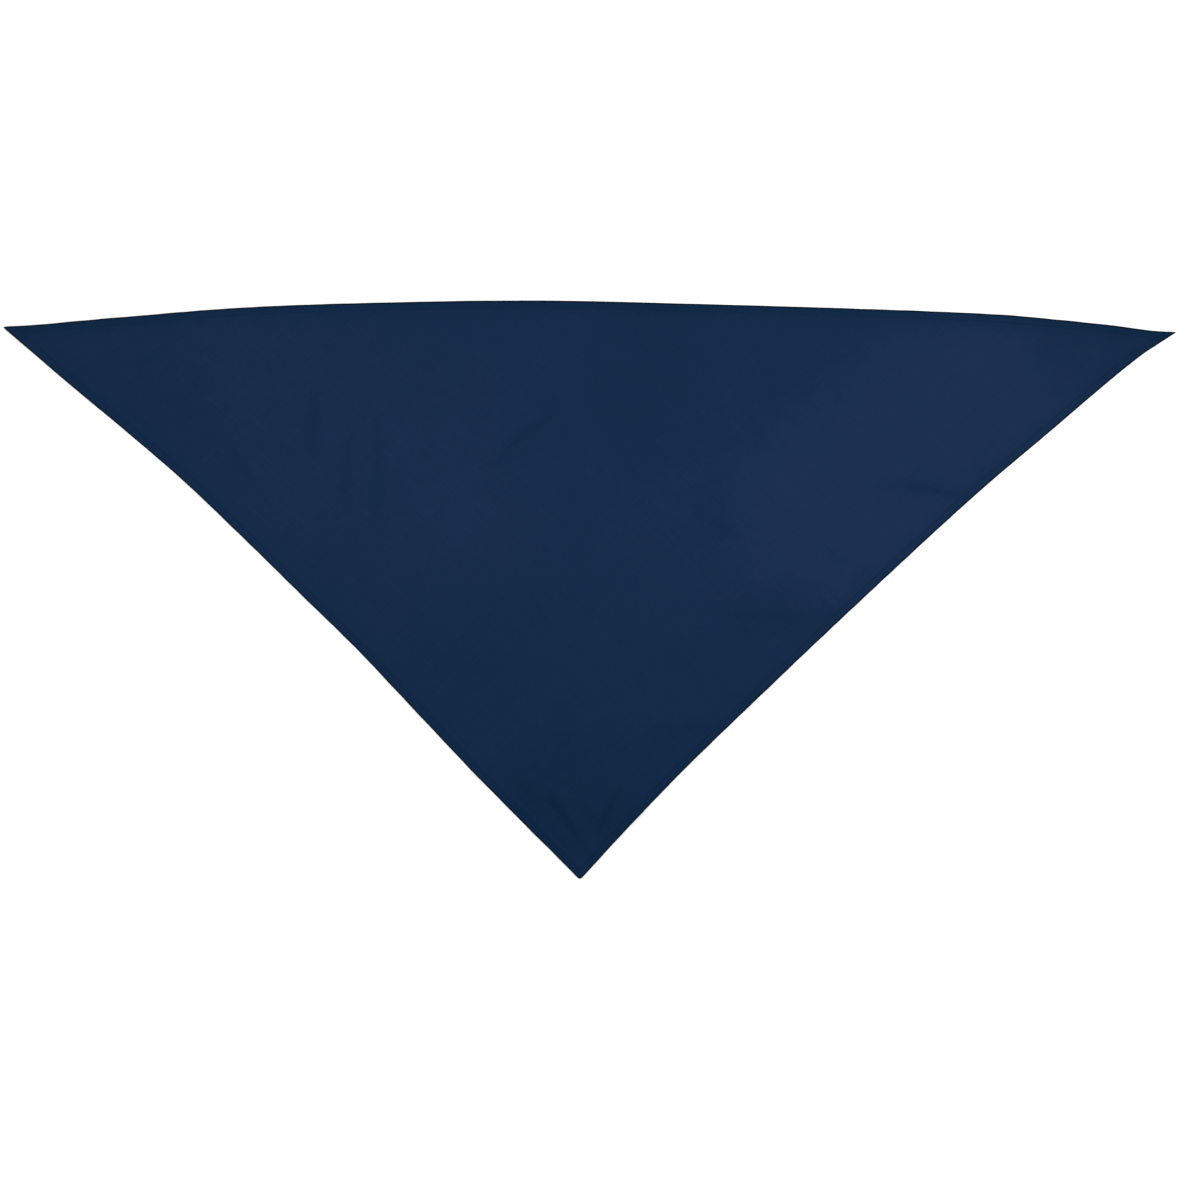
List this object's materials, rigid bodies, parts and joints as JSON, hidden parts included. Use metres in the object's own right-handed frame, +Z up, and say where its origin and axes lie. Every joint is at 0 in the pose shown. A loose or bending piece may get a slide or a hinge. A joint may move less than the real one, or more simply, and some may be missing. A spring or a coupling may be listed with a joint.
{
  "type": "bandana",
  "caption": "Plain triangular cloth bandana laid flat, half a square of thin woven cotton with narrow stitched hems along its long edge and both legs.",
  "frame": {"origin": "middle of the laid-out outline's box, on the surface that the cloth lies on", "axes": "+X along the long edge towards the right tip, +Y from the bottom corner towards the long edge, +Z up through the face of the cloth"},
  "size_m": [1.0006, 0.4936, 0.0046],
  "materials": {
    "navy_cotton": "matte"
  },
  "bodies": {
    "root": {"cloth_panel": "navy_cotton", "hem_left_leg": "navy_cotton", "hem_right_leg": "navy_cotton", "hem_long_edge": "navy_cotton"}
  },
  "joints": []
}
